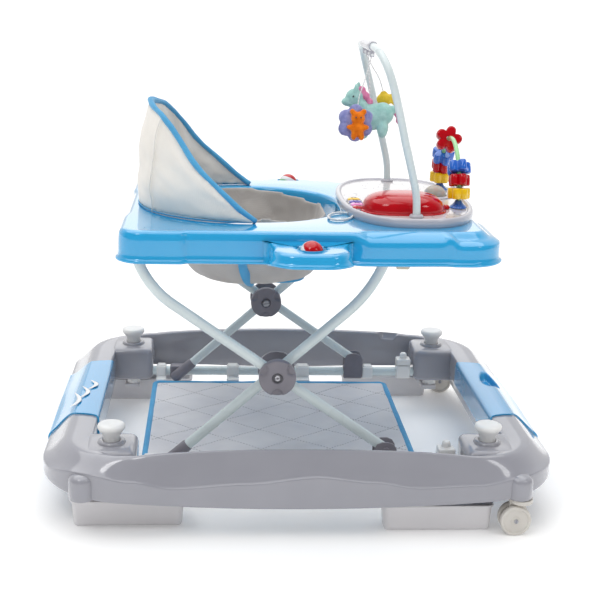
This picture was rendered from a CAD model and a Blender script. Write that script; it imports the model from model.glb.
import math

import bmesh
import bpy
from mathutils import Matrix, Vector, geometry, noise


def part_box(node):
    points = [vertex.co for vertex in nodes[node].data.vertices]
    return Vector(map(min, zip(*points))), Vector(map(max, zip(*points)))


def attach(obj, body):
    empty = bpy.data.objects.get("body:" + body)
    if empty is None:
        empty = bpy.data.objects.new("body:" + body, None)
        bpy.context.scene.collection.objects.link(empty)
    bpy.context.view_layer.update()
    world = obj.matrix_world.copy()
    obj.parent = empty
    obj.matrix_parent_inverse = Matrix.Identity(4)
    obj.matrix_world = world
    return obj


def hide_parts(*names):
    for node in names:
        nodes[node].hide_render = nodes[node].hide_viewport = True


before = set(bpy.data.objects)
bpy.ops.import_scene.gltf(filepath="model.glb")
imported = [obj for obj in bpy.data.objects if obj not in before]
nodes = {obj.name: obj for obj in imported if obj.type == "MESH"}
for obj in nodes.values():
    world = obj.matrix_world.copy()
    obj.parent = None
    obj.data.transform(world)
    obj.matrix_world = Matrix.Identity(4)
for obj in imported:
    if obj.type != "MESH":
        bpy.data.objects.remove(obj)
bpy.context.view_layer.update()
print("frame loaded")


# ---- small tools: a shape is (points in mm, faces) ----
def merge(*shapes):
    points, faces = [], []
    for pts, fcs in shapes:
        base = len(points)
        points += [tuple(p) for p in pts]
        faces += [tuple(i + base for i in f) for f in fcs]
    return points, faces


def place(shape, matrix):
    return [tuple(matrix @ Vector(p)) for p in shape[0]], shape[1]


def shifted(shape, x, y, z):
    return place(shape, Matrix.Translation((x, y, z)))


def mirrored(shape, axis=1):
    points = [tuple(-v if k == axis else v for k, v in enumerate(p)) for p in shape[0]]
    return points, [tuple(reversed(f)) for f in shape[1]]


def bothSides(shape):
    return merge(shape, mirrored(shape))


def grid(rows, wrap=False, close=False, capStart=False, capEnd=False):
    # rows of equal length; wrap joins each row's ends, close joins the last row to the first
    count = len(rows[0])
    points = [tuple(p) for row in rows for p in row]
    faces = []
    for i in range(len(rows) - (0 if close else 1)):
        a, b = i * count, (i + 1) % len(rows) * count
        for j in range(count - (0 if wrap else 1)):
            k = (j + 1) % count
            faces.append((a + j, a + k, b + k, b + j))
    if capStart:
        faces.append(tuple(reversed(range(count))))
    if capEnd:
        faces.append(tuple(range((len(rows) - 1) * count, len(rows) * count)))
    return points, faces


def lathe(profile, steps=40):
    # profile of (radius, height) turned about Z
    rows = [[(r * math.cos(math.tau * k / steps), r * math.sin(math.tau * k / steps), z) for k in range(steps)] for r,
            z in profile]
    return grid(rows, wrap=True, capStart=profile[0][0] > 0.01, capEnd=profile[-1][0] > 0.01)


def alongY(shape, x, y, z, side=1):
    # turns a Z lathe to point along Y, outwards on that side
    turn = Matrix.Rotation(math.radians(-90 * side), 4, "X")
    return place(shape, Matrix.Translation((x, y, z)) @ turn)


def tube(path, radius, sides=20, close=False, flat=1.0):
    # tube along points, radius a number or one for each point
    path = [Vector(p) for p in path]
    last = len(path) - 1
    radii = radius if hasattr(radius, "__len__") else [radius] * len(path)
    rows, normal = [], None
    for i, p in enumerate(path):
        before = path[i - 1] if i or close else p
        after = path[(i + 1) % len(path)] if i < last or close else p
        tangent = (after - before).normalized()
        if normal is None:
            normal = tangent.orthogonal().normalized()
            if abs(tangent.z) < 0.9:
                normal = Vector((0, 0, 1)).cross(tangent).normalized()
        normal = (normal - tangent * normal.dot(tangent)).normalized()
        other = tangent.cross(normal)
        rows.append([p + radii[i] * (math.cos(math.tau * k / sides) * normal + flat * math.sin(math.tau * k / sides) * other) for k in range(sides)])
    return grid(rows, wrap=True, close=close, capStart=not close, capEnd=not close)


def smoothPath(points, steps, close=False):
    # even curve through hand-set points
    pts = [Vector(p) for p in points]
    last = len(pts) - 1
    out = []
    for i in range(len(pts) if close else last):
        pick = [pts[(i + k) % len(pts)] if close else pts[min(max(i + k, 0), last)] for k in (-1, 0, 1, 2)]
        for s in range(steps):
            t = s / steps
            a, b, c, d = pick
            out.append(0.5 * (2 * b + (c - a) * t + (2 * a - 5 * b + 4 * c - d) * t * t + (3 * b - a - 3 * c + d) * t ** 3))
    return out if close else out + [pts[-1]]


def block(x, y, z, radius, segments=4):
    # box with rounded edges between the limits x, y and z
    bm = bmesh.new()
    bmesh.ops.create_cube(bm, size=1)
    for v in bm.verts:
        v.co = [lim[0] + (c + 0.5) * (lim[1] - lim[0]) for c, lim in zip(v.co, (x, y, z))]
    bmesh.ops.bevel(bm, geom=bm.edges[:], offset=radius, segments=segments, profile=0.5, affect="EDGES",
            clamp_overlap=True)
    bm.verts.ensure_lookup_table()
    shape = [tuple(v.co) for v in bm.verts], [tuple(v.index for v in f.verts) for f in bm.faces]
    bm.free()
    return shape


def ball(radius, centre=(0, 0, 0), scale=(1, 1, 1), rings=16):
    profile = [(radius * math.sin(math.pi * k / rings),
            -radius * math.cos(math.pi * k / rings)) for k in range(rings + 1)]
    points, faces = lathe(profile, rings * 2)
    return [tuple(c + v * s for v, s, c in zip(p, scale, centre)) for p in points], faces


def offsetLoop(loop, inset):
    # closed plan outline, anticlockwise, moved inwards
    out = []
    for i, p in enumerate(loop):
        a, b = loop[i - 1], loop[(i + 1) % len(loop)]
        dx, dy = b[0] - a[0], b[1] - a[1]
        size = math.hypot(dx, dy) or 1
        out.append((p[0] - inset * dy / size, p[1] + inset * dx / size))
    return out


def roundedLoop(x0, x1, y0, y1, r, steps=10, straight=6):
    out = []
    corners = [(x1 - r, y0 + r, -90), (x1 - r, y1 - r, 0), (x0 + r, y1 - r, 90), (x0 + r, y0 + r, 180)]
    for i, (cx, cy, start) in enumerate(corners):
        for k in range(steps + 1):
            a = math.radians(start + 90 * k / steps)
            out.append((cx + r * math.cos(a), cy + r * math.sin(a)))
        nx, ny, nStart = corners[(i + 1) % 4]
        a = math.radians(nStart)
        end = (nx + r * math.cos(a), ny + r * math.sin(a))
        out += [tuple(p + (q - p) * k / straight for p, q in zip(out[-1], end)) for k in range(1, straight)]
    return out


def rise(loop, profile):
    # wall over an outline, from (inset, height) pairs
    return [[(x, y, z) for x, y in offsetLoop(loop, inset)] for inset, z in profile]


def cushionBlock(loop, profile):
    return grid(rise(loop, profile), wrap=True, capStart=True, capEnd=True)


def ease(value, low, high):
    t = min(max((value - low) / (high - low), 0), 1)
    return t * t * (3 - 2 * t)


def fillBetween(outer, inner, z):
    # flat deck between two outlines, as triangles
    pts = [Vector(p) for p in outer + inner]
    edges = [(i, (i + 1) % len(outer)) for i in range(len(outer))]
    edges += [(len(outer) + i, len(outer) + (i + 1) % len(inner)) for i in range(len(inner))]
    verts, _, tris, _, _, _ = geometry.delaunay_2d_cdt(pts, edges, [], 0, 1e-5)
    hole = [Vector(p) for p in inner]

    def inside(p, ring):
        hit = False
        for i, a in enumerate(ring):
            b = ring[i - 1]
            if (a.y > p.y) != (b.y > p.y) and p.x < (b.x - a.x) * (p.y - a.y) / (b.y - a.y) + a.x:
                hit = not hit
        return hit
    border = [Vector(p) for p in outer]
    keep = []
    for t in tris:
        c = sum((verts[i] for i in t), Vector((0, 0))) / len(t)
        if inside(c, border) and not inside(c, hole):
            keep.append(tuple(t))
    return [(v.x, v.y, z) for v in verts], keep


def piece(name, shape, material, body, replaced=(), sharp=35, weld=0.02, modifiers=()):
    mesh = bpy.data.meshes.new(name)
    mesh.from_pydata([[c / 1000 for c in p] for p in shape[0]], [], shape[1])
    bm = bmesh.new()
    bm.from_mesh(mesh)
    bmesh.ops.remove_doubles(bm, verts=bm.verts, dist=weld / 1000)
    bmesh.ops.recalc_face_normals(bm, faces=bm.faces)
    bm.to_mesh(mesh)
    bm.free()
    obj = bpy.data.objects.new(name, mesh)
    bpy.context.scene.collection.objects.link(obj)
    mesh.shade_smooth()
    for kind, values in modifiers:
        mod = obj.modifiers.new(kind.title(), kind)
        for key, value in values.items():
            setattr(mod, key, value)
    if modifiers:
        apply(obj)
    if sharp:
        obj.data.set_sharp_from_angle(angle=math.radians(sharp))
    obj.data.materials.clear()
    obj.data.materials.append(material)
    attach(obj, body)
    if replaced:
        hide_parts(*replaced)
    return obj


def apply(obj):
    graph = bpy.context.evaluated_depsgraph_get()
    graph.update()
    mesh = bpy.data.meshes.new_from_object(obj.evaluated_get(graph))
    obj.modifiers.clear()
    obj.data = mesh
    return obj


def sculpt(obj, move):
    # moves each point, in mm
    for v in obj.data.vertices:
        p = v.co * 1000
        v.co = Vector(move(p)) / 1000
    obj.data.update()
    return obj


# ---- materials ----
def hexColour(code):
    parts = [int(code[i:i + 2], 16) / 255 for i in (1, 3, 5)]
    return [c / 12.92 if c <= 0.04045 else ((c + 0.055) / 1.055) ** 2.4 for c in parts] + [1]


def addNode(tree, kind, settings=None, inputs=None):
    node = tree.nodes.new(kind)
    for key, value in (settings or {}).items():
        setattr(node, key, value)
    for key, value in (inputs or {}).items():
        if isinstance(value, bpy.types.NodeSocket):
            tree.links.new(value, node.inputs[key])
        else:
            node.inputs[key].default_value = value
    return node


def startMaterial(name, roughness, extra=None):
    mat = bpy.data.materials.new(name)
    mat.use_nodes = True
    tree = mat.node_tree
    shader = tree.nodes["Principled BSDF"]
    shader.inputs["Roughness"].default_value = roughness
    for key, value in (extra or {}).items():
        shader.inputs[key].default_value = value
    place = addNode(tree, "ShaderNodeTexCoord").outputs["Object"]
    return mat, tree, shader, place


def blendColours(tree, shader, factor, first, second):
    mix = addNode(tree, "ShaderNodeMix", {"data_type": "RGBA"}, {0: factor, 6: first, 7: second})
    tree.links.new(mix.outputs[2], shader.inputs["Base Color"])
    return mix.outputs[2]


def setBump(tree, shader, height, strength, distance):
    bump = addNode(tree, "ShaderNodeBump", inputs={"Height": height, "Strength": strength, "Distance": distance})
    tree.links.new(bump.outputs[0], shader.inputs["Normal"])


def mouldedPlastic(name, colour, shade, roughness=0.22, coat=0.35, grain=0.4, flow=70):
    # injection-moulded shell: even gloss, a slow drift of tone, and a faint orange-peel skin
    mat, tree, shader, place = startMaterial(name, roughness,
            {"Coat Weight": coat, "Coat Roughness": 0.06, "IOR": 1.49})
    drift = addNode(tree, "ShaderNodeTexNoise", inputs={"Vector": place, "Scale": 1000 / flow, "Detail": 2})
    blendColours(tree, shader, drift.outputs[0], hexColour(colour), hexColour(shade))
    skin = addNode(tree, "ShaderNodeTexNoise", inputs={"Vector": place, "Scale": 1000 / 2.4, "Detail": 2})
    setBump(tree, shader, skin.outputs[0], grain * 0.12, 0.0002)
    haze = addNode(tree, "ShaderNodeMapRange",
            inputs={"Value": drift.outputs[0], "To Min": roughness * 0.85, "To Max": roughness * 1.2})
    tree.links.new(haze.outputs[0], shader.inputs["Roughness"])
    return mat


def wovenCloth(name, colour, shade, thread=1.6, roughness=0.86, sheen=0.25, bump=0.5, fold=60):
    # plain weave: threads under and over at the given spacing in mm, drawn coarser than life so they show
    mat, tree, shader, place = startMaterial(name, roughness,
            {"Sheen Weight": sheen, "Sheen Roughness": 0.5, "Specular IOR Level": 0.25})
    bands = []
    for axis in "XYZ":
        wave = addNode(tree, "ShaderNodeTexWave",
                {"wave_type": "BANDS", "bands_direction": axis, "wave_profile": "SIN"},
                       {"Vector": place, "Scale": 1000 / thread * math.pi / 10, "Distortion": 0.6, "Detail": 1,
                       "Detail Scale": 0.4})
        bands.append(wave.outputs["Fac"])
    first = addNode(tree, "ShaderNodeMath", {"operation": "ADD"}, {0: bands[0], 1: bands[1]})
    weave = addNode(tree, "ShaderNodeMath", {"operation": "ADD"}, {0: first.outputs[0], 1: bands[2]})
    level = addNode(tree, "ShaderNodeMapRange", inputs={"Value": weave.outputs[0], "From Max": 3})
    cloud = addNode(tree, "ShaderNodeTexNoise", inputs={"Vector": place, "Scale": 1000 / fold, "Detail": 4})
    tone = addNode(tree, "ShaderNodeMath", {"operation": "MULTIPLY_ADD", "use_clamp": True},
            {0: level.outputs[0], 1: 0.22, 2: cloud.outputs[0]})
    tone2 = addNode(tree, "ShaderNodeMapRange", inputs={"Value": tone.outputs[0], "From Min": 0.42, "From Max": 0.78})
    blendColours(tree, shader, tone2.outputs[0], hexColour(shade), hexColour(colour))
    setBump(tree, shader, level.outputs[0], bump, 0.0003)
    return mat


def plushPile(name, colour, shade):
    # short velour pile: soft sheen and tiny tufts about 1.5 mm apart
    mat, tree, shader, place = startMaterial(name, 0.9,
            {"Sheen Weight": 0.6, "Sheen Roughness": 0.4, "Specular IOR Level": 0.2})
    tuft = addNode(tree, "ShaderNodeTexVoronoi", inputs={"Vector": place, "Scale": 1000 / 1.5})
    cloud = addNode(tree, "ShaderNodeTexNoise", inputs={"Vector": place, "Scale": 1000 / 9, "Detail": 3})
    tone = addNode(tree, "ShaderNodeMapRange", inputs={"Value": cloud.outputs[0], "From Min": 0.35, "From Max": 0.65})
    blendColours(tree, shader, tone.outputs[0], hexColour(shade), hexColour(colour))
    setBump(tree, shader, tuft.outputs["Distance"], 0.6, 0.0006)
    return mat


def braidedCord(name, colour, shade):
    # fine polyester braid, ribs 1.2 mm apart
    mat, tree, shader, place = startMaterial(name, 0.6, {"Sheen Weight": 0.3})
    wave = addNode(tree, "ShaderNodeTexWave", {"bands_direction": "DIAGONAL"},
            {"Vector": place, "Scale": 130, "Distortion": 1})
    blendColours(tree, shader, wave.outputs["Fac"], hexColour(shade), hexColour(colour))
    setBump(tree, shader, wave.outputs["Fac"], 0.4, 0.0003)
    return mat


def brushedSteel(name, colour):
    # zinc-plated steel with fine turning marks
    mat, tree, shader, place = startMaterial(name, 0.32, {"Metallic": 1.0})
    marks = addNode(tree, "ShaderNodeTexWave", {"wave_type": "RINGS", "rings_direction": "Y"},
            {"Vector": place, "Scale": 60, "Distortion": 2, "Detail": 2})
    blendColours(tree, shader, marks.outputs["Fac"], hexColour(colour), hexColour("#B9B9BE"))
    setBump(tree, shader, marks.outputs["Fac"], 0.1, 0.0001)
    return mat


def printedPanel(name):
    # glossy panel with a printed field of thin rings, loops and specks in grey and blue ink
    mat, tree, shader, place = startMaterial(name, 0.2, {"Coat Weight": 0.5, "Coat Roughness": 0.05})
    warp = addNode(tree, "ShaderNodeTexNoise", inputs={"Vector": place, "Scale": 1000 / 60, "Detail": 1})
    bend = addNode(tree, "ShaderNodeMix", {"data_type": "VECTOR"}, {0: 0.012, 4: place, 5: warp.outputs["Color"]})
    cells = addNode(tree, "ShaderNodeTexVoronoi",
            inputs={"Vector": bend.outputs[1], "Scale": 1000 / 30, "Randomness": 0.9})
    ring = addNode(tree, "ShaderNodeMath", {"operation": "COMPARE"},
            {0: cells.outputs["Distance"], 1: 0.34, 2: 0.022})
    dots = addNode(tree, "ShaderNodeTexVoronoi", inputs={"Vector": place, "Scale": 1000 / 17, "Randomness": 1.0})
    speck = addNode(tree, "ShaderNodeMath", {"operation": "LESS_THAN"}, {0: dots.outputs["Distance"], 1: 0.085})
    ink = addNode(tree, "ShaderNodeMath", {"operation": "MAXIMUM"}, {0: ring.outputs[0], 1: speck.outputs[0]})
    soft = addNode(tree, "ShaderNodeMath", {"operation": "MULTIPLY"}, {0: ink.outputs[0], 1: 0.55})
    blendColours(tree, shader, soft.outputs[0], hexColour("#D9D5D6"), hexColour("#6C6F82"))
    return mat


ringGrey = mouldedPlastic("ringMouldedPolypropylene", "#96969E", "#A1A1A9", 0.16, 0.7)
skyBlue = mouldedPlastic("skyBlueGlossPolypropylene", "#22A2DC", "#2FAAE1", 0.12, 1.0)
coverBlue = mouldedPlastic("coverBlueGlossPolypropylene", "#2F9FD8", "#3CA8DE", 0.13, 0.9)
whiteCap = mouldedPlastic("whiteAcetal", "#F1F1EF", "#E6E6E6", 0.3, 0.2)
padPlastic = mouldedPlastic("padMouldedNylon", "#DEDCDE", "#D2D0D3", 0.38, 0.1, 0.8)
hubGrey = mouldedPlastic("hubGreyNylon", "#86838C", "#76737B", 0.42, 0.05, 1.0, 20)
wheelPlastic = mouldedPlastic("wheelNylon", "#DCD8D2", "#CFCAC2", 0.4, 0.1, 0.8, 25)
beigeNylon = mouldedPlastic("beigeNylon", "#D6CEBC", "#C8BFAA", 0.45, 0.05, 1.0, 25)
panelRim = mouldedPlastic("panelRimGreyAbs", "#B9B8C1", "#C4C3CB", 0.22, 0.4)
redGloss = mouldedPlastic("redGlossAbs", "#B80012", "#C80318", 0.12, 0.15, 0.2)
yellowGloss = mouldedPlastic("yellowGlossAbs", "#FFD21A", "#F6C400", 0.16, 0.6, 0.2)
blueGloss = mouldedPlastic("blueGlossAbs", "#1B5FC4", "#2E74D8", 0.14, 0.7, 0.2)
greenGloss = mouldedPlastic("paleGreenGlossAbs", "#A6DFA0", "#97D692", 0.2, 0.5, 0.2)
purpleGloss = mouldedPlastic("purpleGlossAbs", "#5B49A8", "#6B58B8", 0.2, 0.5, 0.2)
pinkGloss = mouldedPlastic("pinkGlossAbs", "#EE7FD0", "#F596DA", 0.2, 0.5, 0.2)
darkGloss = mouldedPlastic("darkGreyAbs", "#4A4A50", "#3A3A40", 0.3, 0.3)
whiteGloss = mouldedPlastic("whiteGlossAbs", "#F4F4F4", "#EAEAEA", 0.15, 0.6)
paintedTube = mouldedPlastic("powderCoatedSteelTube", "#DCE6E7", "#CFDBDD", 0.27, 0.4, 0.5, 40)
matCloth = wovenCloth("quiltedMatPolyester", "#E6E4E5", "#DAD8DB", 1.2)
padCloth = wovenCloth("greySeatPolyester", "#C4C0BC", "#B3AEAA", 1.2)
hoodCloth = wovenCloth("creamHoodPolyester", "#F4F0E9", "#EAE5DD", 1.1, bump=0.3)
bindingCloth = wovenCloth("blueBindingTape", "#58ADDC", "#479ACB", 1.1)
mintPlush = plushPile("mintVelour", "#B4DFD9", "#9ACCC5")
pinkPlush = plushPile("pinkVelour", "#F09AC0", "#D97AA4")
purplePlush = plushPile("lavenderVelour", "#A2A5D6", "#7E82BC")
orangePlush = plushPile("orangeVelour", "#FF8A1A", "#E06D08")
yellowPlush = plushPile("yellowVelour", "#F7D84E", "#DDB92E")
whiteCord = braidedCord("whiteBraidedCord", "#F7F7F7", "#DADADA")
boltSteel = brushedSteel("zincPlatedSteel", "#8E8E94")
greyThread = braidedCord("greyStitchThread", "#B9B7BA", "#A6A4A8")
panelPrint = printedPanel("printedPanelAbs")
clearDome = startMaterial("clearPolystyrene", 0.06,
        {"Transmission Weight": 0.55, "IOR": 1.3, "Base Color": hexColour("#F6F0E4")})[0]
print("materials ready")

# ---- camera, light and floor ----
view = {"place": (-0.1201, -1.7461, 0.7113), "yaw": 0.074, "pitch": 0.262, "roll": 0.028, "lens": 72.85}


def makeCamera():
    cam = bpy.data.cameras.new("camera")
    cam.lens, cam.sensor_width = view["lens"], 36
    obj = bpy.data.objects.new("camera", cam)
    yaw, pitch, roll = view["yaw"], view["pitch"], view["roll"]
    ahead = Vector((math.sin(yaw) * math.cos(pitch), math.cos(yaw) * math.cos(pitch), -math.sin(pitch)))
    right = Vector((math.cos(yaw), -math.sin(yaw), 0))
    up = right.cross(ahead)
    x = math.cos(roll) * right + math.sin(roll) * up
    y = -math.sin(roll) * right + math.cos(roll) * up
    turn = Matrix((x, y, -ahead)).transposed().to_4x4()
    obj.matrix_world = Matrix.Translation(view["place"]) @ turn
    bpy.context.scene.collection.objects.link(obj)
    bpy.context.scene.camera = obj


def areaLight(name, place, target, size, power):
    light = bpy.data.lights.new(name, "AREA")
    light.shape, light.size, light.energy = "DISK", size, power
    obj = bpy.data.objects.new(name, light)
    obj.location = place
    obj.rotation_euler = (Vector(target) - Vector(place)).to_track_quat("-Z", "Y").to_euler()
    bpy.context.scene.collection.objects.link(obj)


makeCamera()
areaLight("keyLight", (-1.0, -1.5, 2.4), (0, 0, 0.25), 0.7, 7)
areaLight("fillLight", (1.6, -1.4, 1.9), (0, 0, 0.25), 0.6, 4)
areaLight("backLight", (0.1, 2.4, 1.5), (0, 0, 0.1), 2.2, 6)
overhead = bpy.data.lights.new("overhead", "SUN")
overhead.energy, overhead.angle = 1.9, math.radians(75)
overheadObject = bpy.data.objects.new("overhead", overhead)
overheadObject.rotation_euler = (math.radians(-8), math.radians(-6), 0)
bpy.context.scene.collection.objects.link(overheadObject)
world = bpy.data.worlds.new("studio")
world.use_nodes = True
world.node_tree.nodes["Background"].inputs[0].default_value = (1, 1, 1, 1)
ray = addNode(world.node_tree, "ShaderNodeLightPath")
ways = addNode(world.node_tree, "ShaderNodeSeparateXYZ",
        inputs={0: addNode(world.node_tree, "ShaderNodeTexCoord").outputs["Generated"]})
backdrop = addNode(world.node_tree, "ShaderNodeMapRange",
        inputs={"Value": ways.outputs[1], "From Min": -0.1, "From Max": 0.5, "To Min": 0.12, "To Max": 0.85})
seen = addNode(world.node_tree, "ShaderNodeMix",
        inputs={0: ray.outputs["Is Glossy Ray"], 2: 0.46, 3: backdrop.outputs[0]})
strength = addNode(world.node_tree, "ShaderNodeMath", {"operation": "MAXIMUM"},
        {0: ray.outputs["Is Camera Ray"], 1: seen.outputs[0]})
world.node_tree.links.new(strength.outputs[0], world.node_tree.nodes["Background"].inputs[1])
bpy.context.scene.world = world
bpy.context.scene.view_settings.view_transform = "Standard"
floorMesh = bpy.data.meshes.new("floor")
floorMesh.from_pydata([(-80, -80, 0), (80, -80, 0), (80, 80, 0), (-80, 80, 0)], [], [(0, 1, 2, 3)])
floor = bpy.data.objects.new("floor", floorMesh)
bpy.context.scene.collection.objects.link(floor)
floorPaper, floorTree, floorShader, floorPlace = startMaterial("whiteStudioPaper", 0.7)
floorNoise = addNode(floorTree, "ShaderNodeTexNoise", inputs={"Vector": floorPlace, "Scale": 3})
blendColours(floorTree, floorShader, floorNoise.outputs[0], hexColour("#FCFCFC"), hexColour("#F8F8F8"))
floorShader.inputs["Emission Color"].default_value = (1, 1, 1, 1)
floorShader.inputs["Emission Strength"].default_value = 0.14
floorMesh.materials.append(floorPaper)
print("camera, light and floor ready")

# ---- cords: routes in mm, as in the part's source ----
cords = {
    "pony": {"route": [(97, 0, 606), (98, 1, 592), (99, -1, 576), (101, 0, 558), (101, 0, 530)], "width": 1.5},
    "flower": {"route": [(97, -40, 606), (94, -39, 592), (88, -41, 570), (82, -40, 550), (79, -40, 528)],
    "width": 1.5},
    "fish": {"route": [(97, 40, 606), (101, 41, 597), (110, 39, 582), (120, 40, 566), (127, 40, 545)], "width": 1.5},
    "loop": {"route": [(68, -84, 391), (64, -78, 390), (55, -78, 390), (46, -84, 390), (40, -96, 390),
    (37, -110, 390), (39, -123, 390),
                       (47, -130, 390), (57, -127, 390), (65, -118, 390), (70, -108, 390), (72, -101, 391)],
                       "width": 3.0},
}


def makeCord(name, body, replaced):
    facts = cords[name]
    line = smoothPath(facts["route"], 8)
    obj = piece(name + "Cord", tube(line, facts["width"] / 2, 14), whiteCord, body, (replaced,), sharp=0)
    return obj


def stars(lobes, reach, lobeSize, height, bore, edge=1.6):
    # bead with rounded lobes round a bore, centred, its axis along Z
    steps = lobes * 14
    plan = []
    for k in range(steps):
        a = math.tau * k / steps
        near = min(abs((a - math.tau * i / lobes + math.pi) % math.tau - math.pi) for i in range(lobes + 1))
        side = reach * math.sin(near)
        edgeOut = reach * math.cos(near) + math.sqrt(max(lobeSize ** 2 - side ** 2,
                0)) if abs(side) < lobeSize else reach * 0.9
        plan.append(max(edgeOut, reach * 0.86))
    plan = [(plan[k - 1] + 2 * plan[k] + plan[(k + 1) % steps]) / 4 for k in range(steps)]
    half = height / 2
    rows = []
    for grow, z in [(-1, -half), (-0.55, -half), (-0.2, -half + 0.3), (0, -half + edge), (0.25, 0), (0, half - edge),
            (-0.2, half - 0.3), (-0.55, half), (-1, half)]:
        row = []
        for k in range(steps):
            a = math.tau * k / steps
            full = plan[k] + (0.25 if grow > 0 else 0)
            r = bore if grow == -1 else full if grow >= 0 else full - edge * 2.2 * -grow * 0.9 if grow > -0.5 else full - edge * 2
            row.append((r * math.cos(a), r * math.sin(a), z))
        rows.append(row)
    return grid(rows, wrap=True, close=True)

# ---- base ring ----
cover = {"half": 121, "wave": 11, "lift": 2.2, "cup": (312, 38), "cupLong": 36, "cupWide": 14, "cupDeep": 12}
ring = {"halfX": 347, "halfY": 298, "corner": 105, "innerX": 280, "innerY": 272, "innerCorner": 60, "top": 106,
        "low": 40, "rocker": 3200}


def ringStations():
    # pairs of outer and inner plan points round the ring, with the outward direction at each
    quarter = []
    ox, oy, oc = ring["halfX"], ring["halfY"], ring["corner"]
    ix, iy, ic = ring["innerX"], ring["innerY"], ring["innerCorner"]
    for k in range(26):
        t = k / 26
        quarter.append(((ox, (oy - oc) * t), (ix, (iy - ic) * t)))
    for k in range(28):
        a = math.pi / 2 * k / 28
        quarter.append(((ox - oc + oc * math.cos(a), oy - oc + oc * math.sin(a)),
                (ix - ic + ic * math.cos(a), iy - ic + ic * math.sin(a))))
    for k in range(61):
        t = 1 - k / 60
        quarter.append((((ox - oc) * t, oy), ((ix - ic) * t, iy)))
    half = quarter + [((-o[0], o[1]), (-i[0], i[1])) for o, i in reversed(quarter[:-1])]
    return half + [((o[0], -o[1]), (i[0], -i[1])) for o, i in reversed(half[1:-1])]


def lowEdge(x):
    return ring["low"] + ring["rocker"] - math.sqrt(ring["rocker"] ** 2 - x * x)


creaseLine = [(-347, 88), (-281, 87), (-225, 78), (-170, 69), (-75, 75), (18, 84), (90, 77), (151, 69), (225, 72),
        (294, 81), (347, 84)]


def along(table, x):
    # smooth interpolation in a table of (place, value)
    for (x0, v0), (x1, v1) in zip(table, table[1:]):
        if x <= x1:
            return v0 + (v1 - v0) * ease(x, x0, x1)
    return table[-1][1]


def ringSection(outer, inner):
    # section from the lower outer lip, over the top, to the foot of the inner wall: (share across, height)
    x, y = outer
    width = math.dist(outer, inner)
    side = ease(abs(y), 240, 290)
    crease = along(creaseLine, x) * side + (80 - 2 * ease(abs(y), 0, 120)) * (1 - side)
    low = lowEdge(x)
    top = ring["top"] - 2 * ease(abs(x), 200, 330) + 9 * side * max(0, 1 - (x / 235) ** 2) ** 0.8
    reach = min(width * 0.74, 34)
    notch = 9 * ease(x, 184, 190) * (1 - ease(x, 214, 220)) * ease(abs(y), 285, 295)
    lens = 2.4 * max(0, 1 - ((x - 135) / 70) ** 2) ** 0.5 * side
    rows = [(3, low + 3.5), (2.2, low + 0.6), (0.9, low), (0.1, low + 1.4), (0, low + 4)]
    for k in range(1, 6):
        rows.append((0.5 * math.sin(math.pi * k / 6) - 0.25, low + 4 + (crease - 6 - low) * k / 6))
    rows += [(0, crease - 2), (0.25, crease - 0.8), (0.9, crease), (2.0, crease + 0.4)]
    for k in range(1, 13):
        t = k / 12
        swell = lens * math.exp(-((t - 0.4) / 0.16) ** 2)
        rows.append((2.0 + (reach - 2.0) * t,
                crease + 0.4 + (top - crease - 0.4) * (0.55 * ease(t, -0.12, 1) + 0.45 * t ** 1.15) - swell))
    rows += [(reach + (width - 6 - reach) * 0.5, top + 0.5), (width - 7 + 3 * side, top - notch),
            (width - 2, top - 0.7 - notch), (width - 0.7, top - 2 - notch), (width, top - 5 - notch),
             (width, top - 18), (width, 66), (width, 52.5), (width - 0.8, 50.8), (width - 2.4, 50.6)]
    return [(w / width, z) for w, z in rows]


def cupDip(x, y, margin):
    # depth of the recess in the front cover at a point
    along = (y - cover["cup"][1]) / cover["cupLong"]
    wide = cover["cupWide"] * (1 - 0.4 * max(min(along, 1), -1))
    away = math.hypot(along, (x - cover["cup"][0]) / wide)
    return cover["cupDeep"] * (1 - ease(away, 0.7 + margin, 1.02 + margin))


def ringRows():
    rows = []
    for outer, inner in ringStations():
        row = []
        for w, z in ringSection(outer, inner):
            x, y = outer[0] + (inner[0] - outer[0]) * w, outer[1] + (inner[1] - outer[1]) * w
            row.append((x, y, z - (cupDip(x, y, 0.3) + 3 * (cupDip(x, y, 0.3) > 0) if z > 88 and w < 0.95 else 0)))
        rows.append(row)
    return rows


def knobSeat(x, y):
    # domed corner housing with a turned collar for the knob
    housing = block((219, 290), (186, 263), (50, 104.5), 10, 5)
    collar = lathe([(11.4, 92), (11.4, 107.4), (12.4, 108.4), (15.5, 108.4), (17.6, 107.4), (18.6, 105),
            (19.6, 102.5), (22, 100)], 48)
    shape = merge(housing, shifted(collar, 253, 224, 0))
    return mirrored(shape, 0) if x < 0 and y > 0 else shape


corner = knobSeat(1, 1)
corners = merge(corner, mirrored(corner, 0), mirrored(corner, 1), mirrored(mirrored(corner, 0), 1))
frontPost = shifted(lathe([(4.6, 50.4), (16.2, 50.4), (17.2, 52), (17, 73), (16.2, 76.6), (13.6, 79.8), (9, 82),
        (0, 83)], 40), 287, 282.5, 0)
rearPost = shifted(lathe([(4, 50.4), (16.2, 50.4), (17.2, 52), (17, 75), (16.2, 78.6), (13.6, 81.8), (9, 84),
        (0, 85)], 40), -287, 282.5, 0)
piece("ringBody", merge(grid(ringRows(), close=True), corners, bothSides(frontPost), bothSides(rearPost)), ringGrey,
        "base",
      ("base_ring",), sharp=50, weld=0.01)
print("base ring made")

# ---- blue end covers: the ring's own section, raised by their thickness, with wavy sides ----


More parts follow.
